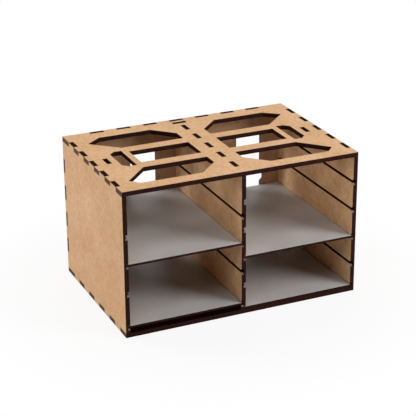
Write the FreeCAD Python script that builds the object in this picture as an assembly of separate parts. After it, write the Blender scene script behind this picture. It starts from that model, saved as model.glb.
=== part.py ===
"""Open-front carrying case for miniatures, cut from fibreboard sheet and glued up.

The walls beside the bays are two thin layers. The one that faces a bay is a stack of level
rails, and the gaps between the rails are the grooves that the shelves run in. Behind the
rails is a plain outer board or, in the divider, the other bay's rails, half a pitch higher.
Each shelf is a board with a steel sheet on top, so that magnetised bases hold to it.

Frame: millimetres, +Z up, front towards -Y, origin at the middle of the underside.
"""

import FreeCAD, Part
import os

# Overall size of the case
case_width = 330.0
case_depth = 222.7
case_height = 199.4

# Board and sheet thicknesses
panel_board = 6.0
outer_board = 3.0
rail_board = 3.0
shelf_board = 3.0
steel_sheet = 0.5

# Finger joints: the tab, the distance between tabs, the room left past the last one,
# and the gap that the cut leaves at each side of a tab
tab_length = 19.5
tab_pitch = 39.0
tab_end_room = 10.0
joint_clearance = 0.1

# Grooves for the shelves: their spacing, how many each bay has above its bottom one, the
# rail under the left bay's bottom groove, and the cut that opens each mouth
groove_pitch = 39.0
left_groove_count = 3
right_groove_count = 4
foot_rail = 6.6
mouth_flare = 2.5
slide_clearance = 0.15

# The strip of panel board that lies on the floor between the left bay's foot rails and
# closes the gap under its lower shelf
riser_width = 12.0
riser_setback = 0.8

# Shelves: how many grooves lie below each bay's upper shelf, and the gaps round the board
# and its steel sheet
grooves_below_count = 2
board_end_clearance = 0.5
board_rear_clearance = 0.5
shelf_setback = 0.4
sheet_side_clearance = 0.5
sheet_edge_inset = 0.3

# Cut-outs in the top: the plate left in the middle, the two bars on each side of it, and
# the rim left at the sides, the front and the back
bridge_width = 40.8
bar_spacing = 43.2
bar_width = 17.7
end_bar_width = 8.9
rim_width = 20.05
rim_side_width = 22.0
inner_corner_cut = 27.5
shoulder_cut = 34.2
rear_corner_width = 21.0
rear_corner_depth = 17.0
front_corner_width = 11.4
front_corner_depth = 12.1

# The narrow cut-out beyond the bars
finger_cut_inset = 34.0
finger_cut_width = 17.5
finger_cut_length = 56.4
finger_cut_corner = 7.0

# Spare slots in the top, of a tab's size, for a strap or a neighbour's tabs
side_slot_inset = 21.6
rear_slot_inset = 14.9

# Windows in the back, one behind each bay and off its middle towards the right, each with a
# notch half-way up both sides
window_width = 39.0
window_sill = 28.7
window_offset = 30.0
window_notch_depth = 4.2
window_notch_height = 26.4

# Planes that the pieces share
wall_board = outer_board + rail_board
half_width = case_width / 2
outer_board_face = half_width - outer_board
inner_half_width = half_width - wall_board
front = -case_depth / 2
rear = case_depth / 2
back_face = rear - panel_board
wall_middle = (front + back_face) / 2
floor = panel_board
ceiling = case_height - panel_board
middle_height = case_height / 2
groove_height = shelf_board + 2 * slide_clearance
bay_middle = (rail_board + inner_half_width) / 2

# Edges of the top's cut-outs, across from the middle plane and along from wall_middle
bridge_edge = bridge_width / 2
bar_inner_edge = bar_spacing / 2
bar_outer_edge = bar_inner_edge + bar_width
rim_edge = (back_face - front) / 2 - rim_width
tip_edge = half_width - rim_side_width
finger_cut_outer = half_width - finger_cut_inset
finger_cut_inner = finger_cut_outer - finger_cut_width
middle_cut_edge = finger_cut_inner - end_bar_width


def box(x_low, x_high, y_low, y_high, z_low, z_high):
    """A block between two corners."""
    corner = FreeCAD.Vector(x_low, y_low, z_low)
    return Part.makeBox(x_high - x_low, y_high - y_low, z_high - z_low, corner)


def prism(points, direction):
    """A flat outline, given by its corners, pushed along a direction."""
    corners = [FreeCAD.Vector(*point) for point in points]
    outline = Part.makePolygon(corners + corners[:1])
    return Part.Face(outline).extrude(FreeCAD.Vector(*direction))


def joined(pieces):
    """One solid from pieces that touch face to face."""
    return pieces[0].multiFuse(pieces[1:]).removeSplitter()


def without(body, cuts):
    """A solid with each of the cuts taken away."""
    return body.cut(cuts).removeSplitter()


def row(middle, room, pitch, first):
    """Places either side of a middle: on it if first is 0, or half a pitch off if 0.5."""
    steps = int((room - first * pitch) // pitch)
    offsets = [(first + step) * pitch for step in range(steps + 1)]
    return sorted({middle + side * offset for side in (-1, 1) for offset in offsets})


def tab_row(middle, half_room, first):
    """The middles of a row of tabs along an edge."""
    return row(middle, half_room - tab_end_room - tab_length / 2, tab_pitch, first)


def groove_row(bottom_groove, count):
    """Groove heights in one bay: its bottom groove, then a row about the mid-height."""
    lowest = middle_height - (count - 1) / 2 * groove_pitch
    return [bottom_groove] + [lowest + step * groove_pitch for step in range(count)]


def rail_spans(grooves):
    """The lower and upper edge of each rail that a bay's grooves leave."""
    half = groove_height / 2
    lows = [floor] + [height + half for height in grooves]
    highs = [height - half for height in grooves] + [ceiling]
    return [(low, high) for low, high in zip(lows, highs) if high - low > groove_height]


# Tabs of the walls in the top and bottom, of the back in the top and bottom, and of the
# back in the side walls
wall_tabs = tab_row(wall_middle, (back_face - front) / 2, 0)
back_tabs = tab_row(0.0, half_width, 0)
side_tabs = tab_row(middle_height, (ceiling - floor) / 2, 0.5)

# The right bay's bottom groove lies on the floor, and the left one stands on a foot rail.
# The rows above are half a pitch apart, so that no two grooves meet in the divider.
right_grooves = groove_row(floor + groove_height / 2, right_groove_count)
left_grooves = groove_row(floor + foot_rail + groove_height / 2, left_groove_count)

# Half a slot's length
slot_reach = tab_length / 2 + joint_clearance


def tabs_within(low, high):
    """The tabs of the back edge that lie whole between two heights."""
    half = tab_length / 2
    return [middle for middle in side_tabs if low < middle - half and middle + half < high]


def panel_tabs(x_low, x_high, z_low, z_high):
    """The tabs of a wall layer that pass through the top or the bottom."""
    half = tab_length / 2
    return [box(x_low, x_high, y - half, y + half, z_low, z_high) for y in wall_tabs]


def outer_wall(x_low):
    """The plain outer board of a side wall, notched at the rear for the tabs of the back."""
    x_high = x_low + outer_board
    body = box(x_low, x_high, front, rear, floor, ceiling)
    notches = []
    for middle in side_tabs:
        z_low = middle - slot_reach
        z_high = middle + slot_reach
        notches.append(box(x_low, x_high, back_face, rear, z_low, z_high))
    tabs = panel_tabs(x_low, x_high, ceiling, case_height) + panel_tabs(x_low, x_high, 0, floor)
    return joined([without(body, notches)] + tabs)


def rail(x_low, low, high, into_back):
    """One rail of a wall, cut back where a groove opens above or below it."""
    x_high = x_low + rail_board
    lower_flare = mouth_flare if low > floor else 0.0
    upper_flare = mouth_flare if high < ceiling else 0.0
    profile = [
        (front, low + lower_flare),
        (front + lower_flare, low),
        (back_face, low),
        (back_face, high),
        (front + upper_flare, high),
        (front, high - upper_flare),
    ]
    points = [(x_low, y, z) for y, z in dict.fromkeys(profile)]
    pieces = [prism(points, (rail_board, 0, 0))]
    if high == ceiling:
        pieces += panel_tabs(x_low, x_high, ceiling, case_height)
    if low == floor:
        pieces += panel_tabs(x_low, x_high, 0, floor)
    if into_back:
        for middle in tabs_within(low, high):
            z_low = middle - tab_length / 2
            z_high = middle + tab_length / 2
            pieces.append(box(x_low, x_high, back_face, rear, z_low, z_high))
    return joined(pieces)


def joint_cuts(z_low, wall_spans):
    """The notches and slots for the tabs of the walls and of the back in a panel."""
    cuts = []
    z_high = z_low + panel_board
    for y in wall_tabs:
        for x_low, x_high in wall_spans:
            cuts.append(box(x_low, x_high, y - slot_reach, y + slot_reach, z_low, z_high))
    for x in back_tabs:
        cuts.append(box(x - slot_reach, x + slot_reach, back_face, rear, z_low, z_high))
    return cuts


def rim_cut_outline(direction, corner_width, corner_depth):
    """Half of the top's large cut-out, towards the rear (1) or the front (-1)."""
    profile = [
        (bridge_edge, bar_outer_edge),
        (tip_edge - shoulder_cut, bar_outer_edge),
        (tip_edge, rim_edge - corner_depth),
        (tip_edge - corner_width, rim_edge),
        (bridge_edge + inner_corner_cut, rim_edge),
        (bridge_edge, rim_edge - inner_corner_cut),
    ]
    return [(x, direction * y) for x, y in profile]


def bar_cut_outline():
    """The rectangular cut-out between the two bars of the top."""
    return [
        (bridge_edge, -bar_inner_edge),
        (middle_cut_edge, -bar_inner_edge),
        (middle_cut_edge, bar_inner_edge),
        (bridge_edge, bar_inner_edge),
    ]


def finger_cut_outline():
    """The narrow cut-out beside it, with its two outer corners cut off."""
    end = finger_cut_length / 2
    return [
        (finger_cut_inner, -end),
        (finger_cut_outer - finger_cut_corner, -end),
        (finger_cut_outer, finger_cut_corner - end),
        (finger_cut_outer, end - finger_cut_corner),
        (finger_cut_outer - finger_cut_corner, end),
        (finger_cut_inner, end),
    ]


def top_cut_outs():
    """All the cut-outs of the top, the same on both sides of the middle plane."""
    outlines = [
        rim_cut_outline(1, rear_corner_width, rear_corner_depth),
        rim_cut_outline(-1, front_corner_width, front_corner_depth),
        bar_cut_outline(),
        finger_cut_outline(),
    ]
    cuts = []
    for outline in outlines:
        for side in (-1, 1):
            points = [(side * x, wall_middle + y, ceiling) for x, y in outline]
            cuts.append(prism(points, (0, 0, panel_board)))
    return cuts


def spare_slots():
    """Three open slots of a tab's size: one near each side and one near the rear."""
    half_board = panel_board / 2 + joint_clearance
    slots = []
    for side in (-1, 1):
        x = side * (half_width - side_slot_inset)
        y_low = wall_middle - slot_reach
        y_high = wall_middle + slot_reach
        slots.append(box(x - half_board, x + half_board, y_low, y_high, ceiling, case_height))
    y = rear - rear_slot_inset
    slots.append(
        box(-slot_reach, slot_reach, y - half_board, y + half_board, ceiling, case_height)
    )
    return slots


def window(middle):
    """A tall window in the back, with a notch half-way up each side."""
    side = window_width / 2
    deep = side + window_notch_depth
    end = (ceiling - floor) / 2 - window_sill
    notch = window_notch_height / 2
    flat = notch - window_notch_depth
    right_side = [
        (side, -end),
        (side, -notch),
        (deep, -flat),
        (deep, flat),
        (side, notch),
        (side, end),
    ]
    left_side = [(-x, -z) for x, z in right_side]
    points = [(middle + x, back_face, middle_height + z) for x, z in right_side + left_side]
    return prism(points, (0, panel_board, 0))


def top_panel():
    """The top, which owns the upper corners and takes the tabs of every wall."""
    body = box(-half_width, half_width, front, rear, ceiling, case_height)
    divider_slot = rail_board + joint_clearance
    wall_spans = [
        (-half_width, -inner_half_width),
        (-divider_slot, divider_slot),
        (inner_half_width, half_width),
    ]
    return without(body, joint_cuts(ceiling, wall_spans) + top_cut_outs() + spare_slots())


def bottom_panel():
    """The bottom. The right bay's shelf lies on it, so that bay's rails have no tabs here."""
    body = box(-half_width, half_width, front, rear, 0, floor)
    wall_spans = [
        (-half_width, -inner_half_width),
        (-rail_board - joint_clearance, joint_clearance),
        (outer_board_face, half_width),
    ]
    return without(body, joint_cuts(0, wall_spans))


def back_panel():
    """The back, which covers the rear ends of the rails, with tabs on all four edges."""
    half = tab_length / 2
    pieces = [box(-outer_board_face, outer_board_face, back_face, rear, floor, ceiling)]
    for x in back_tabs:
        pieces.append(box(x - half, x + half, back_face, rear, 0, floor))
        pieces.append(box(x - half, x + half, back_face, rear, ceiling, case_height))
    for z in side_tabs:
        pieces.append(box(-half_width, half_width, back_face, rear, z - half, z + half))
    cuts = []
    for low, high in rail_spans(left_grooves):
        for z in tabs_within(low, high):
            x_low = -rail_board - joint_clearance
            z_low = z - slot_reach
            z_high = z + slot_reach
            cuts.append(box(x_low, joint_clearance, back_face, rear, z_low, z_high))
    for bay in (-bay_middle, bay_middle):
        cuts.append(window(bay + window_offset))
    return without(joined(pieces), cuts)


def riser_strip():
    """The strip under the left bay's lower shelf, a little behind the front edges."""
    y_low = front + riser_setback
    x_high = -rail_board - joint_clearance
    x_low = joint_clearance - inner_half_width
    return box(x_low, x_high, y_low, y_low + riser_width, floor, floor + panel_board)


def shelf(bay_low, bay_high, groove_middle):
    """A shelf board that runs in a pair of grooves, and the steel sheet on top of it."""
    reach = rail_board - board_end_clearance
    y_low = front + shelf_setback
    y_high = back_face - board_rear_clearance
    z_low = groove_middle - shelf_board / 2
    z_top = groove_middle + shelf_board / 2
    board = box(bay_low - reach, bay_high + reach, y_low, y_high, z_low, z_top)
    sheet = box(
        bay_low + sheet_side_clearance,
        bay_high - sheet_side_clearance,
        y_low + sheet_edge_inset,
        y_high - sheet_edge_inset,
        z_top,
        z_top + steel_sheet,
    )
    return board, sheet


# Every piece, by name
nodes = {
    "top_panel": top_panel(),
    "bottom_panel": bottom_panel(),
    "back_panel": back_panel(),
    "left_outer_wall": outer_wall(-half_width),
    "right_outer_wall": outer_wall(outer_board_face),
    "left_riser_strip": riser_strip(),
}

# The rails of each wall, numbered from the floor up. Those on the divider's left also have
# the tabs that hold it to the back.
rail_stacks = {
    "left_wall_rail": (-outer_board_face, left_grooves, False),
    "divider_left_rail": (-rail_board, left_grooves, True),
    "divider_right_rail": (0.0, right_grooves, False),
    "right_wall_rail": (inner_half_width, right_grooves, False),
}
for stack, (x_low, grooves, into_back) in rail_stacks.items():
    for number, (low, high) in enumerate(rail_spans(grooves), start=1):
        nodes[stack + "_" + str(number)] = rail(x_low, low, high, into_back)

# The shelves of the two bays, each bay as its inner faces and its grooves
bays = {
    "left": (-inner_half_width, -rail_board, left_grooves),
    "right": (rail_board, inner_half_width, right_grooves),
}
for side, (bay_low, bay_high, grooves) in bays.items():
    for level, groove in (("lower", 0), ("upper", grooves_below_count)):
        board, sheet = shelf(bay_low, bay_high, grooves[groove])
        nodes[side + "_" + level + "_shelf_board"] = board
        nodes[side + "_" + level + "_shelf_sheet"] = sheet

os.makedirs("parts", exist_ok=True)
for name, shape in nodes.items():
    solid = shape.Solids[0]
    solid.exportStep("parts/" + name + ".step")
    print(name, "solids", len(shape.Solids), "valid", solid.isValid(), "mm3", round(solid.Volume))
print("left grooves", left_grooves, "right grooves", right_grooves)
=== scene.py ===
"""The looks of a laser-cut fibreboard carrying case for miniatures, in metres."""
import math
import bmesh
import bpy
from mathutils import Matrix, Vector


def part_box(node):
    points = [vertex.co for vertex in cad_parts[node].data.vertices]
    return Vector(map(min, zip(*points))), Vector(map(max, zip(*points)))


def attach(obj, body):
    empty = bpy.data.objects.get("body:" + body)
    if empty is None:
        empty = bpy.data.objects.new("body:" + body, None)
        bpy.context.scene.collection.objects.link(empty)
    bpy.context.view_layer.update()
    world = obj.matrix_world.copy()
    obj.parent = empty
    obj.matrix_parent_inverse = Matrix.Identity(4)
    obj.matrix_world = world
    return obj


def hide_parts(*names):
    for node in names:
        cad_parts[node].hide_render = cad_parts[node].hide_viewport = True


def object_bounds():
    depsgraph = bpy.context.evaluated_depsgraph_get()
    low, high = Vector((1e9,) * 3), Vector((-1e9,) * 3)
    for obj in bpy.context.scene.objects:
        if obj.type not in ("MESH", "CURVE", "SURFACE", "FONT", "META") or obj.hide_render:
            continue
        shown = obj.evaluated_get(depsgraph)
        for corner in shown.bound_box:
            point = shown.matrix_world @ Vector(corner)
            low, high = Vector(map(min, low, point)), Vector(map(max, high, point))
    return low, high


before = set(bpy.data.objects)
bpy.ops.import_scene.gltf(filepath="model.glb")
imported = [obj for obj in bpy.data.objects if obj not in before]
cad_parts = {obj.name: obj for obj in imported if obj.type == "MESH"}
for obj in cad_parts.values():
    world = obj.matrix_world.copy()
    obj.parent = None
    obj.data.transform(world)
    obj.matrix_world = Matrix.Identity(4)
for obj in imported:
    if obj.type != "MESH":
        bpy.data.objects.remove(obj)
cad_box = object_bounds()

MM = 0.001

# Board sizes, as the case is cut
PANEL_BOARD = 6.0 * MM
TAB_LENGTH = 19.5 * MM
TAB_PITCH = 39.0 * MM
GROOVE_HEIGHT = 3.3 * MM
GROOVE_PITCH = 39.0 * MM
MOUTH_FLARE = 2.5 * MM
FOOT_RAIL = 6.6 * MM

# What the laser leaves: a hair of melted corner, and a band of smoke stain beside the cut
CORNER_MELT = 0.12 * MM
SMOKE_BAND = 0.9 * MM
SHEET_ROUND = 0.1 * MM
WELD = 0.001 * MM

# Angles that tell a flat face from a corner, and a face that looks along an axis
FLAT_ANGLE = math.radians(1)
SHARP_ANGLE = math.radians(30)
SQUARE_ON = 0.95
HALF_WAY = 0.6
AXES = {"x": Vector((1, 0, 0)), "y": Vector((0, 1, 0)), "z": Vector((0, 0, 1))}

low, high = (Vector(corner) for corner in cad_box)
FRONT = low.y
REAR = high.y
BACK_FACE = REAR - PANEL_BOARD
FLOOR = low.z + PANEL_BOARD
CEILING = high.z - PANEL_BOARD
MIDDLE_HEIGHT = (low.z + high.z) / 2
CENTRE = (low + high) / 2


# Shader helpers

def new_group(name, inputs, outputs):
    """An empty node group with its sockets, each given as name, type and default."""
    group = bpy.data.node_groups.new(name, "ShaderNodeTree")
    for label, kind, default in inputs:
        socket = group.interface.new_socket(label, in_out="INPUT", socket_type=kind)
        socket.default_value = default
    for label, kind in outputs:
        group.interface.new_socket(label, in_out="OUTPUT", socket_type=kind)
    source = group.nodes.new("NodeGroupInput")
    sink = group.nodes.new("NodeGroupOutput")
    return group, source, sink


def noise(tree, vector, scale, detail=2.0, roughness=0.5, distortion=0.0):
    node = tree.nodes.new("ShaderNodeTexNoise")
    node.inputs["Scale"].default_value = scale
    node.inputs["Detail"].default_value = detail
    node.inputs["Roughness"].default_value = roughness
    node.inputs["Distortion"].default_value = distortion
    tree.links.new(vector, node.inputs["Vector"])
    return node.outputs["Fac"]


def stretched(tree, vector, factors):
    """The coordinates scaled by a factor on each axis."""
    node = tree.nodes.new("ShaderNodeMapping")
    node.inputs["Scale"].default_value = factors
    tree.links.new(vector, node.inputs["Vector"])
    return node.outputs["Vector"]


def span(tree, value, low_in, high_in, low_out=0.0, high_out=1.0):
    """A value mapped from one range to another, and held at its ends."""
    node = tree.nodes.new("ShaderNodeMapRange")
    node.inputs["From Min"].default_value = low_in
    node.inputs["From Max"].default_value = high_in
    node.inputs["To Min"].default_value = low_out
    node.inputs["To Max"].default_value = high_out
    tree.links.new(value, node.inputs["Value"])
    return node.outputs["Result"]


def calc(tree, operation, first, second=None):
    node = tree.nodes.new("ShaderNodeMath")
    node.operation = operation
    for socket, value in zip(node.inputs, (first, second)):
        if value is None:
            continue
        if isinstance(value, (int, float)):
            socket.default_value = value
        else:
            tree.links.new(value, socket)
    return node.outputs[0]


def mixed(tree, factor, first, second, blend="MIX"):
    """Two colours mixed, each a socket or a plain colour."""
    node = tree.nodes.new("ShaderNodeMix")
    node.data_type = "RGBA"
    node.blend_type = blend
    for socket, value in ((node.inputs[0], factor), (node.inputs[6], first), (node.inputs[7], second)):
        if isinstance(value, bpy.types.NodeSocket):
            tree.links.new(value, socket)
        else:
            socket.default_value = value
    return node.outputs[2]


def srgb(red, green, blue):
    """A colour read off a screen, as the linear values that a shader wants."""
    def linear(level):
        level /= 255
        return level / 12.92 if level <= 0.04045 else ((level + 0.055) / 1.055) ** 2.4
    return (linear(red), linear(green), linear(blue), 1.0)


FLOAT = "NodeSocketFloat"
COLOUR = "NodeSocketColor"
VECTOR = "NodeSocketVector"
INTEGER = "NodeSocketInt"
MATERIAL = "NodeSocketMaterial"

# Two slight tints between which the board's colour wanders
TINT_GREENER = (0.98, 1.0, 0.94, 1.0)
TINT_REDDER = (1.0, 0.965, 0.95, 1.0)


def fibre_group():
    """Pressed wood fibre: cloudy tone, short pale and dark fibres, and sparse dark specks."""
    group, source, sink = new_group(
        "pressed_fibre",
        [
            ("Vector", VECTOR, (0, 0, 0)),
            ("Pale", COLOUR, (1, 1, 1, 1)),
            ("Deep", COLOUR, (0, 0, 0, 1)),
            ("Speck", COLOUR, (0, 0, 0, 1)),
            ("Fibre Amount", FLOAT, 1.0),
            ("Speck Amount", FLOAT, 1.0),
            ("Blotch Amount", FLOAT, 0.0),
        ],
        [("Color", COLOUR), ("Roughness", FLOAT), ("Height", FLOAT)],
    )
    where = source.outputs["Vector"]
    cloud = noise(group, where, 22.0, 3.0, 0.55)
    clump = noise(group, where, 190.0, 3.0, 0.62)
    tone = calc(group, "ADD", span(group, cloud, 0.3, 0.7, 0.0, 0.4), span(group, clump, 0.3, 0.7, 0.0, 0.6))
    base = mixed(group, tone, source.outputs["Deep"], source.outputs["Pale"])
    tint = span(group, noise(group, where, 110.0, 1.0, 0.5), 0.35, 0.65)
    shade = mixed(group, tint, TINT_GREENER, TINT_REDDER)
    base = mixed(group, 1.0, base, shade, "MULTIPLY")
    fibres = noise(group, where, 420.0, 2.0, 0.6, 3.0)
    pale_fibre = calc(group, "MULTIPLY", span(group, fibres, 0.56, 0.72), source.outputs["Fibre Amount"])
    dark_fibre = calc(group, "MULTIPLY", span(group, fibres, 0.44, 0.28), source.outputs["Fibre Amount"])
    base = mixed(group, calc(group, "MULTIPLY", pale_fibre, 0.75), base, source.outputs["Pale"])
    base = mixed(group, calc(group, "MULTIPLY", dark_fibre, 0.9), base, source.outputs["Deep"])
    dust = noise(group, where, 330.0, 3.0, 0.7)
    cell = group.nodes.new("ShaderNodeTexVoronoi")
    cell.inputs["Scale"].default_value = 120.0
    group.links.new(where, cell.inputs["Vector"])
    chance = group.nodes.new("ShaderNodeSeparateColor")
    group.links.new(cell.outputs["Color"], chance.inputs["Color"])
    rare = span(group, chance.outputs["Red"], 0.80, 0.95)
    spot = span(group, cell.outputs["Distance"], 0.15, 0.06)
    speck = calc(group, "ADD", calc(group, "MULTIPLY", rare, spot), span(group, dust, 0.66, 0.80, 0.0, 0.5))
    speck = calc(group, "MULTIPLY", speck, source.outputs["Speck Amount"])
    base = mixed(group, speck, base, source.outputs["Speck"])
    smudge = calc(group, "ADD", noise(group, where, 75.0, 4.0, 0.65), span(group, cloud, 0.3, 0.7, -0.06, 0.06))
    blotch = calc(group, "MULTIPLY", span(group, smudge, 0.50, 0.68), source.outputs["Blotch Amount"])
    base = mixed(group, blotch, base, source.outputs["Speck"])
    group.links.new(base, sink.inputs["Color"])
    group.links.new(span(group, clump, 0.3, 0.7, 0.62, 0.74), sink.inputs["Roughness"])
    height = calc(group, "ADD", clump, calc(group, "MULTIPLY", fibres, 0.4))
    group.links.new(height, sink.inputs["Height"])
    return group


def smoke_group():
    """Smoke stain beside a laser cut, and the char on the cut itself."""
    group, source, sink = new_group(
        "smoke_stain",
        [
            ("Vector", VECTOR, (0, 0, 0)),
            ("Char", FLOAT, 0.0),
            ("Face Color", COLOUR, (1, 1, 1, 1)),
            ("Stain Color", COLOUR, (0, 0, 0, 1)),
        ],
        [("Color", COLOUR)],
    )
    ragged = noise(group, source.outputs["Vector"], 900.0, 2.0, 0.6)
    reach = calc(group, "ADD", source.outputs["Char"], span(group, ragged, 0.3, 0.7, -0.22, 0.22))
    stain = span(group, reach, 0.45, 1.15, 0.0, 0.85)
    group.links.new(mixed(group, stain, source.outputs["Face Color"], source.outputs["Stain Color"]), sink.inputs["Color"])
    return group


def char_group():
    """A laser-cut edge: char with fine lines that run through the board's thickness."""
    group, source, sink = new_group(
        "laser_char",
        [
            ("Vector", VECTOR, (0, 0, 0)),
            ("Char", COLOUR, (0, 0, 0, 1)),
            ("Ash", COLOUR, (0.1, 0.1, 0.1, 1)),
        ],
        [("Color", COLOUR), ("Roughness", FLOAT), ("Height", FLOAT)],
    )
    where = source.outputs["Vector"]
    lines = noise(group, where, 1400.0, 2.0, 0.5)
    soot = noise(group, where, 120.0, 2.0, 0.5)
    ash = calc(group, "MULTIPLY", span(group, lines, 0.45, 0.75), span(group, soot, 0.3, 0.7, 0.25, 1.0))
    group.links.new(mixed(group, ash, source.outputs["Char"], source.outputs["Ash"]), sink.inputs["Color"])
    group.links.new(span(group, soot, 0.3, 0.7, 0.36, 0.52), sink.inputs["Roughness"])
    group.links.new(lines, sink.inputs["Height"])
    return group


def sheet_group():
    """Grey coated sheet: cloudy tone, a fine orange peel and small rubbed marks."""
    group, source, sink = new_group(
        "coated_sheet",
        [
            ("Vector", VECTOR, (0, 0, 0)),
            ("Bright", COLOUR, (0.5, 0.5, 0.5, 1)),
            ("Dull", COLOUR, (0.4, 0.4, 0.4, 1)),
        ],
        [("Color", COLOUR), ("Roughness", FLOAT), ("Height", FLOAT)],
    )
    where = source.outputs["Vector"]
    peel = noise(group, where, 900.0, 2.0, 0.5)
    cloud = noise(group, where, 18.0, 3.0, 0.55)
    marks = noise(group, stretched(group, where, (1.0, 0.15, 1.0)), 420.0, 2.0, 0.5, 1.5)
    tone = calc(group, "ADD", span(group, cloud, 0.3, 0.7, 0.0, 0.7), span(group, peel, 0.3, 0.7, 0.0, 0.3))
    group.links.new(mixed(group, tone, source.outputs["Dull"], source.outputs["Bright"]), sink.inputs["Color"])
    rough = calc(group, "ADD", span(group, cloud, 0.3, 0.7, 0.38, 0.46), span(group, marks, 0.62, 0.72, 0.0, 0.08))
    group.links.new(rough, sink.inputs["Roughness"])
    group.links.new(peel, sink.inputs["Height"])
    return group


PRESSED_FIBRE = fibre_group()
SMOKE_STAIN = smoke_group()
LASER_CHAR = char_group()
COATED_SHEET = sheet_group()


def new_material(name):
    material = bpy.data.materials.new(name)
    material.use_nodes = True
    tree = material.node_tree
    shader = next(node for node in tree.nodes if node.type == "BSDF_PRINCIPLED")
    where = tree.nodes.new("ShaderNodeTexCoord").outputs["Object"]
    return material, tree, shader, where


def placed(tree, group, **values):
    node = tree.nodes.new("ShaderNodeGroup")
    node.node_tree = group
    for label, value in values.items():
        socket = node.inputs[label.replace("_", " ")]
        if isinstance(value, bpy.types.NodeSocket):
            tree.links.new(value, socket)
        else:
            socket.default_value = value
    return node


def raised(tree, shader, height, strength, distance):
    bump = tree.nodes.new("ShaderNodeBump")
    bump.inputs["Strength"].default_value = strength
    bump.inputs["Distance"].default_value = distance
    tree.links.new(height, bump.inputs["Height"])
    tree.links.new(bump.outputs["Normal"], shader.inputs["Normal"])


def fibreboard(name, pale, deep, speck, blotches=0.0):
    """A smooth sanded face of the board, with smoke blotches where the laser left them."""
    material, tree, shader, where = new_material(name)
    fibre = placed(
        tree, PRESSED_FIBRE, Vector=where, Pale=pale, Deep=deep, Speck=speck, Blotch_Amount=blotches
    )
    char = tree.nodes.new("ShaderNodeAttribute")
    char.attribute_name = "char"
    smoke = placed(
        tree, SMOKE_STAIN, Vector=where, Char=char.outputs["Fac"],
        Face_Color=fibre.outputs["Color"], Stain_Color=srgb(112, 72, 44),
    )
    tree.links.new(smoke.outputs["Color"], shader.inputs["Base Color"])
    tree.links.new(fibre.outputs["Roughness"], shader.inputs["Roughness"])
    raised(tree, shader, fibre.outputs["Height"], 0.25, 0.05 * MM)
    return material


def charred(name, through, char_color, ash_color):
    """The burnt edge of a board whose thickness runs along the axis called through."""
    material, tree, shader, where = new_material(name)
    factors = [1.0, 1.0, 1.0]
    factors["xyz".index(through)] = 0.06
    char = placed(
        tree, LASER_CHAR, Vector=stretched(tree, where, factors),
        Char=char_color, Ash=ash_color,
    )
    tree.links.new(char.outputs["Color"], shader.inputs["Base Color"])
    tree.links.new(char.outputs["Roughness"], shader.inputs["Roughness"])
    shader.inputs["Specular IOR Level"].default_value = 0.0
    raised(tree, shader, char.outputs["Height"], 0.35, 0.06 * MM)
    return material


def coated_sheet():
    """The matt grey steel sheet that lies on each shelf."""
    material, tree, shader, where = new_material("grey_coated_sheet")
    sheet = placed(tree, COATED_SHEET, Vector=where, Bright=srgb(197, 196, 196), Dull=srgb(185, 184, 183))
    tree.links.new(sheet.outputs["Color"], shader.inputs["Base Color"])
    tree.links.new(sheet.outputs["Roughness"], shader.inputs["Roughness"])
    raised(tree, shader, sheet.outputs["Height"], 0.1, 0.02 * MM)
    return material


BOARD_FACE = fibreboard(
    "clean_fibreboard_face", srgb(249, 205, 162), srgb(214, 159, 104), srgb(124, 84, 50)
)
INNER_FACE = fibreboard(
    "inner_fibreboard_face", srgb(248, 206, 164), srgb(214, 168, 119), srgb(116, 84, 56), 0.22
)
# Painted shade: a darker, browner copy of the board face for the back panel's inner face, which lies in the shade
# of the case
SHADED_FACE = fibreboard(
    "painted_shade_fibreboard_face", srgb(196, 154, 121), srgb(177, 137, 104), srgb(102, 70, 46), 0.3
)
# Painted shade: a much darker copy of the board face for the undersides of the top panel and the shelves
UNDERSIDE_SHADE_FACE = fibreboard(
    "painted_shade_underside_face", srgb(150, 110, 78), srgb(124, 88, 60), srgb(70, 46, 32), 0.4
)
CHARRED = {
    axis: charred("charred_edge_through_" + axis, axis, srgb(45, 26, 22), srgb(67, 41, 38))
    for axis in "xyz"
}
# Painted sheen: pale char for cuts that look out of the case's left side and for the windows' left-looking jambs,
# where the light from the left glints on the char
PAINTED_SHEEN_CHAR = {
    axis: charred("painted_sheen_char_through_" + axis, axis, srgb(104, 82, 74), srgb(138, 112, 102))
    for axis in "yz"
}
# Painted highlight: pale char for the lower flank of each groove's mouth, which faces up and forward into the
# light
MOUTH_HIGHLIGHT_CHAR = charred("painted_highlight_groove_mouth", "x", srgb(140, 120, 116), srgb(174, 156, 152))
# Painted shade: near-black for the floors of the grooves, the layer faces behind them and the riser strip under
# the left lower shelf, all of which lie in deep shade
DEEP_SHADE_CHAR = {
    axis: charred("painted_shade_recess_through_" + axis, axis, srgb(14, 4, 4), srgb(27, 10, 9))
    for axis in "xz"
}
SHEET = coated_sheet()


UP = (0, 0, 1)
DOWN = (0, 0, -1)
FORWARD = (0, -1, 0)
LEFT = (-1, 0, 0)
RIGHT = (1, 0, 0)


# Boards, cut from copies of the frame's solids

def flat_faces(body):
    """Joins the loose triangles of each flat face."""
    bmesh.ops.remove_doubles(body, verts=body.verts, dist=WELD)
    bmesh.ops.dissolve_limit(body, angle_limit=FLAT_ANGLE, verts=body.verts, edges=body.edges)
    return body


def merged_copy(node):
    """The node's solid as a bmesh with whole flat faces."""
    body = bmesh.new()
    body.from_mesh(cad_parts[node].data)
    return flat_faces(body)


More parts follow.
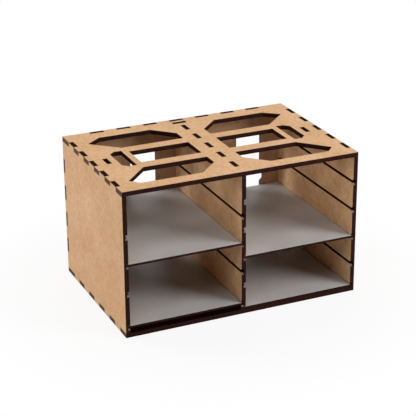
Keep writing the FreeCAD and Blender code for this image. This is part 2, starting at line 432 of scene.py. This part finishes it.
def laser_finish(body, through, dark_side=None, burnt_rim=False):
    """Melts the sharp corners a little and marks the smoke band beside every cut.

    The first material is for the board's faces and the second for its cuts. Faces that
    look towards dark_side get the third, a darker painted shade, and cuts in the case's left
    side get the fourth, which holds a pale painted sheen where one is given.
    With a burnt rim, the smoke band is as dark as the cut.
    """
    axis = AXES[through]
    body.normal_update()
    sharp = [
        edge for edge in body.edges
        if edge.is_manifold and edge.calc_face_angle() > SHARP_ANGLE
    ]
    bmesh.ops.bevel(
        body, geom=sharp, offset=CORNER_MELT, offset_type="OFFSET", segments=1,
        profile=0.5, affect="EDGES", clamp_overlap=True,
    )
    body.normal_update()
    faces = [face for face in body.faces if abs(face.normal.dot(axis)) > SQUARE_ON]
    band = bmesh.ops.inset_region(
        body, faces=faces, thickness=SMOKE_BAND, use_boundary=True, use_even_offset=True
    )["faces"]
    body.normal_update()
    char = body.verts.layers.float.new("char")
    for face in body.faces:
        if abs(face.normal.dot(axis)) < SQUARE_ON:
            # Cuts flush with the case's left side take the fourth material, a pale painted sheen where one is
            # given
            outside = face.calc_center_median().x < low.x + CORNER_MELT
            face.material_index = 3 if outside else 1
            for vert in face.verts:
                vert[char] = 1.0
        # Faces that look towards dark_side: painted shade
        elif dark_side and face.normal.dot(Vector(dark_side)) > SQUARE_ON:
            face.material_index = 2
        else:
            face.material_index = 0
    if burnt_rim:
        for face in band:
            face.material_index = 1
    return body


def piece(name, body, materials, rides_on, stands_for):
    """A finished piece that replaces the frame's own solids."""
    mesh = bpy.data.meshes.new(name)
    body.to_mesh(mesh)
    body.free()
    for material in materials:
        mesh.materials.append(material)
    thing = bpy.data.objects.new(name, mesh)
    bpy.context.scene.collection.objects.link(thing)
    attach(thing, rides_on)
    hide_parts(*stands_for)
    return thing


def board(node, through, rides_on="case", edge=None, dark_side=None, dark=None, end=None, rim=False):
    """A board of the frame with the laser's finish on it."""
    body = laser_finish(merged_copy(node), through, dark_side, rim)
    edge = edge or CHARRED[through]
    materials = [BOARD_FACE, edge, dark or UNDERSIDE_SHADE_FACE, end or edge]
    return piece(node + "_cut", body, materials, rides_on, [node])


def sheet(shelf):
    """The coated sheet of a shelf, with its cut edges rounded off."""
    node = shelf + "_sheet"
    body = merged_copy(node)
    bmesh.ops.bevel(
        body, geom=body.edges[:], offset=SHEET_ROUND, offset_type="OFFSET", segments=2,
        profile=0.5, affect="EDGES", clamp_overlap=True,
    )
    return piece(node + "_coated", body, [SHEET], shelf, [node])


# The wall layers: a slab with grooves at a pitch and tabs at a pitch

def calc_vector(tree, x, y, z):
    """A vector from three sockets or plain numbers."""
    node = tree.nodes.new("ShaderNodeCombineXYZ")
    for socket, value in zip(node.inputs, (x, y, z)):
        if isinstance(value, bpy.types.NodeSocket):
            tree.links.new(value, socket)
        else:
            socket.default_value = value
    return node.outputs[0]


def parts_of(tree, vector):
    node = tree.nodes.new("ShaderNodeSeparateXYZ")
    tree.links.new(vector, node.inputs[0])
    return node.outputs


def block(tree, size):
    """A box about the origin."""
    node = tree.nodes.new("GeometryNodeMeshCube")
    tree.links.new(size, node.inputs["Size"])
    return node.outputs["Mesh"]


def copies(tree, shape, count, start, step):
    """Copies of a shape along a line, from a start and at a step."""
    line = tree.nodes.new("GeometryNodeMeshLine")
    line.mode = "OFFSET"
    tree.links.new(start, line.inputs["Start Location"])
    tree.links.new(step, line.inputs["Offset"])
    if isinstance(count, bpy.types.NodeSocket):
        tree.links.new(count, line.inputs["Count"])
    else:
        line.inputs["Count"].default_value = count
    place = tree.nodes.new("GeometryNodeInstanceOnPoints")
    tree.links.new(line.outputs["Mesh"], place.inputs["Points"])
    tree.links.new(shape, place.inputs["Instance"])
    real = tree.nodes.new("GeometryNodeRealizeInstances")
    tree.links.new(place.outputs["Instances"], real.inputs["Geometry"])
    return real.outputs["Geometry"]


def combined(tree, operation, first, others):
    """A solid with others added to it or taken away from it."""
    node = tree.nodes.new("GeometryNodeMeshBoolean")
    node.operation = operation
    node.solver = "EXACT"
    if operation == "DIFFERENCE":
        tree.links.new(first, node.inputs["Mesh 1"])
    else:
        tree.links.new(first, node.inputs["Mesh 2"])
    for other in others:
        tree.links.new(other, node.inputs["Mesh 2"])
    return node.outputs["Mesh"]


def wall_layer_tree():
    """A wall layer with level grooves, a flare at each groove's mouth, and rows of tabs."""
    tree = bpy.data.node_groups.new("grooved_wall_layer", "GeometryNodeTree")
    for label, kind in (
        ("Low Corner", VECTOR), ("High Corner", VECTOR),
        ("Bottom Groove", FLOAT), ("First Groove", FLOAT), ("Groove Count", INTEGER),
        ("Groove Pitch", FLOAT), ("Groove Height", FLOAT), ("Mouth Flare", FLOAT),
        ("Tab Length", FLOAT), ("Tab Pitch", FLOAT), ("Tab Depth", FLOAT),
        ("Top Tab Count", INTEGER), ("Foot Tab Count", INTEGER),
        ("Rear Tab Count", INTEGER), ("First Rear Tab", FLOAT), ("Board", MATERIAL),
    ):
        tree.interface.new_socket(label, in_out="INPUT", socket_type=kind)
    tree.interface.new_socket("Geometry", in_out="OUTPUT", socket_type="NodeSocketGeometry")
    given = tree.nodes.new("NodeGroupInput").outputs
    x_low, y_low, z_low = parts_of(tree, given["Low Corner"])
    x_high, y_high, z_high = parts_of(tree, given["High Corner"])

    def middle(first, second):
        return calc(tree, "MULTIPLY", calc(tree, "ADD", first, second), 0.5)

    def length(first, second):
        return calc(tree, "SUBTRACT", second, first)

    thick = length(x_low, x_high)
    deep = length(y_low, y_high)
    x, y, z = middle(x_low, x_high), middle(y_low, y_high), middle(z_low, z_high)
    slab_size = calc_vector(tree, thick, deep, length(z_low, z_high))
    slab = copies(tree, block(tree, slab_size), 1, calc_vector(tree, x, y, z), slab_size)

    # Each tab starts half its depth inside the slab, so that the two overlap
    depth = given["Tab Depth"]
    rooted = calc(tree, "MULTIPLY", depth, 1.5)
    quarter = calc(tree, "MULTIPLY", depth, 0.25)
    run = given["Tab Length"]
    pitch = given["Tab Pitch"]
    tab = block(tree, calc_vector(tree, thick, run, rooted))
    rear_tab = block(tree, calc_vector(tree, thick, rooted, run))
    rows = []
    for count, edge, side in (
        (given["Top Tab Count"], z_high, "ADD"), (given["Foot Tab Count"], z_low, "SUBTRACT"),
    ):
        reach = calc(tree, "MULTIPLY", calc(tree, "SUBTRACT", count, 1), calc(tree, "MULTIPLY", pitch, 0.5))
        start = calc_vector(tree, x, calc(tree, "SUBTRACT", y, reach), calc(tree, side, edge, quarter))
        rows.append(copies(tree, tab, count, start, calc_vector(tree, 0.0, pitch, 0.0)))
    start = calc_vector(tree, x, calc(tree, "ADD", y_high, quarter), given["First Rear Tab"])
    rows.append(copies(tree, rear_tab, given["Rear Tab Count"], start, calc_vector(tree, 0.0, 0.0, pitch)))
    whole = combined(tree, "UNION", slab, rows)

    # A groove's cutter is longer and thicker than the slab, and a square bar on its corner
    # opens the mouth
    across = calc(tree, "MULTIPLY", thick, 2.0)
    groove = block(tree, calc_vector(tree, across, calc(tree, "MULTIPLY", deep, 1.2), given["Groove Height"]))
    bar = tree.nodes.new("GeometryNodeMeshCylinder")
    bar.inputs["Vertices"].default_value = 4
    radius = calc(tree, "ADD", calc(tree, "MULTIPLY", given["Groove Height"], 0.5), given["Mouth Flare"])
    tree.links.new(radius, bar.inputs["Radius"])
    tree.links.new(across, bar.inputs["Depth"])
    turned = tree.nodes.new("GeometryNodeTransform")
    turned.inputs["Rotation"].default_value = (0.0, math.radians(90), 0.0)
    tree.links.new(bar.outputs["Mesh"], turned.inputs["Geometry"])
    cutters = []
    for shape, at in ((groove, y), (turned.outputs["Geometry"], y_low)):
        for count, height in ((1, given["Bottom Groove"]), (given["Groove Count"], given["First Groove"])):
            start = calc_vector(tree, x, at, height)
            step = calc_vector(tree, 0.0, 0.0, given["Groove Pitch"])
            cutters.append(copies(tree, shape, count, start, step))
    grooved = combined(tree, "DIFFERENCE", whole, cutters)
    real = tree.nodes.new("GeometryNodeRealizeInstances")
    tree.links.new(grooved, real.inputs["Geometry"])
    finish = tree.nodes.new("GeometryNodeSetMaterial")
    tree.links.new(real.outputs["Geometry"], finish.inputs["Geometry"])
    tree.links.new(given["Board"], finish.inputs["Material"])
    sink = tree.nodes.new("NodeGroupOutput")
    tree.links.new(finish.outputs["Geometry"], sink.inputs["Geometry"])
    return tree


def grown(name, tree, values):
    """The plain mesh that a node tree makes from the values of its named inputs."""
    seed = bpy.data.objects.new(name + "_seed", bpy.data.meshes.new(name + "_seed"))
    bpy.context.scene.collection.objects.link(seed)
    modifier = seed.modifiers.new(name, "NODES")
    modifier.node_group = tree
    for item in tree.interface.items_tree:
        if item.in_out == "INPUT":
            modifier[item.identifier] = values[item.name]
    ready = seed.evaluated_get(bpy.context.evaluated_depsgraph_get())
    mesh = bpy.data.meshes.new_from_object(ready)
    seed.modifiers.remove(modifier)
    bpy.data.objects.remove(seed)
    return mesh


def wall_layer(name, tree, bay, inner_side, foot_tabs, rear_tabs):
    """All the rails of one wall layer. inner_side is where its hidden face looks; where that face shows, as the
    floor of grooves, it is painted near-black as shade.

    The lower flank of each groove's mouth faces up and forward, and gets a pale painted highlight.
    """
    nodes = [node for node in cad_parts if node.startswith(name + "_rail_")]
    corners = [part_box(node) for node in nodes]
    x_low = corners[0][0][0]
    x_high = corners[0][1][0]
    grooves = GROOVES[bay]
    mesh = grown(name, tree, {
        "Low Corner": (x_low, FRONT, FLOOR if foot_tabs else grooves["bottom"]),
        "High Corner": (x_high, BACK_FACE, CEILING),
        "Bottom Groove": grooves["bottom"],
        "First Groove": MIDDLE_HEIGHT - (grooves["count"] - 1) / 2 * GROOVE_PITCH,
        "Groove Count": grooves["count"],
        "Groove Pitch": GROOVE_PITCH,
        "Groove Height": GROOVE_HEIGHT,
        "Mouth Flare": MOUTH_FLARE,
        "Tab Length": TAB_LENGTH,
        "Tab Pitch": TAB_PITCH,
        "Tab Depth": PANEL_BOARD,
        "Top Tab Count": WALL_TABS,
        "Foot Tab Count": WALL_TABS if foot_tabs else 0,
        "Rear Tab Count": BACK_TABS if rear_tabs else 0,
        "First Rear Tab": MIDDLE_HEIGHT - (BACK_TABS - 1) / 2 * TAB_PITCH,
        "Board": BOARD_FACE,
    })
    body = bmesh.new()
    body.from_mesh(mesh)
    flat_faces(body)
    body = laser_finish(body, "x", inner_side)
    # Flanks that face up and forward get the pale painted highlight
    for face in body.faces:
        upward = min(face.normal.z, -face.normal.y) > HALF_WAY
        if upward and face.calc_area() > MOUTH_FLARE * (x_high - x_low):
            face.material_index = 3
    materials = [INNER_FACE, CHARRED["x"], DEEP_SHADE_CHAR["x"], MOUTH_HIGHLIGHT_CHAR]
    piece(name + "_rails_cut", body, materials, "case", nodes)


WALL_TABS = 5
BACK_TABS = 4
GROOVES = {
    "left": {"bottom": FLOOR + FOOT_RAIL + GROOVE_HEIGHT / 2, "count": 3},
    "right": {"bottom": FLOOR + GROOVE_HEIGHT / 2, "count": 4},
}
board("top_panel", "z", dark_side=DOWN, end=PAINTED_SHEEN_CHAR["z"])
board("bottom_panel", "z", end=PAINTED_SHEEN_CHAR["z"], rim=True)
# The back panel's inner face gets the darker copy of the board face, as painted shade
back = board("back_panel", "y", dark_side=FORWARD, dark=SHADED_FACE, end=PAINTED_SHEEN_CHAR["y"])
# The windows' right-hand jambs look left, and get the same pale painted sheen as the ends on that side
for face in back.data.polygons:
    if face.normal.x < -HALF_WAY:
        face.material_index = 3
# The outer walls' inner faces show only as the floors of the grooves, painted near-black as shade
board("left_outer_wall", "x", dark_side=RIGHT, dark=DEEP_SHADE_CHAR["x"])
board("right_outer_wall", "x", dark_side=LEFT, dark=DEEP_SHADE_CHAR["x"])
# The riser strip under the left lower shelf is near-black on its cuts and top: painted deep shade
board("left_riser_strip", "z", edge=DEEP_SHADE_CHAR["z"], dark_side=UP, dark=DEEP_SHADE_CHAR["z"])

layer_tree = wall_layer_tree()
wall_layer("left_wall", layer_tree, "left", LEFT, foot_tabs=True, rear_tabs=False)
wall_layer("divider_left", layer_tree, "left", RIGHT, foot_tabs=True, rear_tabs=True)
wall_layer("divider_right", layer_tree, "right", LEFT, foot_tabs=False, rear_tabs=False)
wall_layer("right_wall", layer_tree, "right", RIGHT, foot_tabs=False, rear_tabs=False)

for side in ("left", "right"):
    for level in ("lower", "upper"):
        shelf = side + "_" + level + "_shelf"
        bare = board(shelf + "_board", "z", shelf, dark_side=DOWN, end=PAINTED_SHEEN_CHAR["z"])
        # The sheet covers the board up to the margins that run in the grooves; the board's upward faces, margins
        # included, get the pale char with its painted sheen
        for face in bare.data.polygons:
            if face.normal.z > SQUARE_ON:
                face.material_index = 3
        sheet(shelf)


# Stage

FLOOR_DROP = 0.5 * MM
FLOOR_REACH = 6.0
SHADOW_REACH = 0.19
SHADOW_END = 0.36
SHADOW_SHARE = 0.12
WORLD_LIGHT = 0.0
REFLECTED_SHARE = 0.3
LAMP_DISTANCE = 1.8
LAMP_SIZE = 0.8


def seen_directly(tree, reflected=1.0):
    """One for rays from the camera or through glass, and a share for reflected ones."""
    rays = tree.nodes.new("ShaderNodeLightPath")
    mirrored = calc(tree, "MULTIPLY", rays.outputs["Is Glossy Ray"], reflected)
    looks = calc(tree, "MAXIMUM", rays.outputs["Is Camera Ray"], mirrored)
    return calc(tree, "MAXIMUM", looks, rays.outputs["Is Transmission Ray"])


def white_floor():
    """A pale floor that holds the case's soft shadow and turns plain white further out."""
    material, tree, shader, where = new_material("white_floor")
    shader.inputs["Base Color"].default_value = (0.9, 0.9, 0.9, 1)
    shader.inputs["Roughness"].default_value = 0.8
    shader.inputs["Specular IOR Level"].default_value = 0.0
    distance = tree.nodes.new("ShaderNodeVectorMath")
    distance.operation = "LENGTH"
    tree.links.new(where, distance.inputs[0])
    clear = span(tree, distance.outputs["Value"], SHADOW_REACH, SHADOW_END, 1 - SHADOW_SHARE, 1.0)
    plain = tree.nodes.new("ShaderNodeEmission")
    blend = tree.nodes.new("ShaderNodeMixShader")
    tree.links.new(calc(tree, "MULTIPLY", clear, seen_directly(tree)), blend.inputs[0])
    tree.links.new(shader.outputs[0], blend.inputs[1])
    tree.links.new(plain.outputs[0], blend.inputs[2])
    sink = next(node for node in tree.nodes if node.type == "OUTPUT_MATERIAL")
    tree.links.new(blend.outputs[0], sink.inputs["Surface"])
    return material


def make_stage():
    """A wide white floor that runs on past every edge of the picture."""
    mesh = bpy.data.meshes.new("studio_floor")
    reach = FLOOR_REACH
    corners = [(-reach, -reach), (reach, -reach), (reach, reach), (-reach, reach)]
    mesh.from_pydata([(x, y, low.z - FLOOR_DROP) for x, y in corners], [], [(0, 1, 2, 3)])
    mesh.materials.append(white_floor())
    ground = bpy.data.objects.new("studio_floor", mesh)
    bpy.context.scene.collection.objects.link(ground)


def make_world():
    """White where it is seen, a share of white in reflections, and the level WORLD_LIGHT elsewhere, which is set
    to none.
    """
    world = bpy.data.worlds.new("studio")
    bpy.context.scene.world = world
    world.use_nodes = True
    tree = world.node_tree
    back = next(node for node in tree.nodes if node.type == "BACKGROUND")
    strength = span(tree, seen_directly(tree, REFLECTED_SHARE), 0.0, 1.0, WORLD_LIGHT, 1.0)
    back.inputs["Color"].default_value = (1, 1, 1, 1)
    tree.links.new(strength, back.inputs["Strength"])


def softbox(name, azimuth, elevation, level):
    """A square lamp that faces the case, at degrees round from the front towards its left.

    The level is what it alone makes of a white card that faces it.
    """
    around = math.radians(azimuth)
    above = math.radians(elevation)
    direction = Vector((
        -math.sin(around) * math.cos(above), -math.cos(around) * math.cos(above), math.sin(above),
    ))
    light = bpy.data.lights.new(name, "AREA")
    light.size = LAMP_SIZE
    light.energy = level * (math.pi * LAMP_DISTANCE) ** 2
    thing = bpy.data.objects.new(name, light)
    thing.location = CENTRE + direction * LAMP_DISTANCE
    thing.rotation_euler = direction.to_track_quat("Z", "Y").to_euler()
    bpy.context.scene.collection.objects.link(thing)


make_stage()
make_world()
softbox("front_right_low_softbox", -45, 25, 0.605)
softbox("front_right_high_softbox", -45, 50, 0.145)
softbox("front_left_softbox", 45, 50, 0.194)
softbox("rear_left_low_softbox", 135, 20, 0.360)
softbox("rear_left_high_softbox", 135, 45, 0.190)
softbox("rear_softbox", 180, 25, 0.052)
softbox("rear_right_high_softbox", -160, 45, 0.090)
softbox("rear_right_low_softbox", -135, 25, 0.095)


# Camera, where the photograph was taken from

CAMERA_PLACE = Vector((-0.7211, -1.6112, 0.8443))
CAMERA_BACK = Vector((-0.37682, -0.84246, 0.38505))
CAMERA_ROLL = math.radians(-0.414)
CAMERA_LENS = 122.66

camera = bpy.data.cameras.new("camera")
camera.lens = CAMERA_LENS
camera.sensor_width = 36.0
camera_object = bpy.data.objects.new("camera", camera)
level = (-CAMERA_BACK).to_track_quat("-Z", "Y").to_matrix()
turn = Matrix.Rotation(CAMERA_ROLL, 3, "Z")
camera_object.matrix_world = Matrix.Translation(CAMERA_PLACE) @ (level @ turn).to_4x4()
bpy.context.scene.collection.objects.link(camera_object)
bpy.context.scene.camera = camera_object

bpy.context.scene.view_settings.view_transform = "Standard"
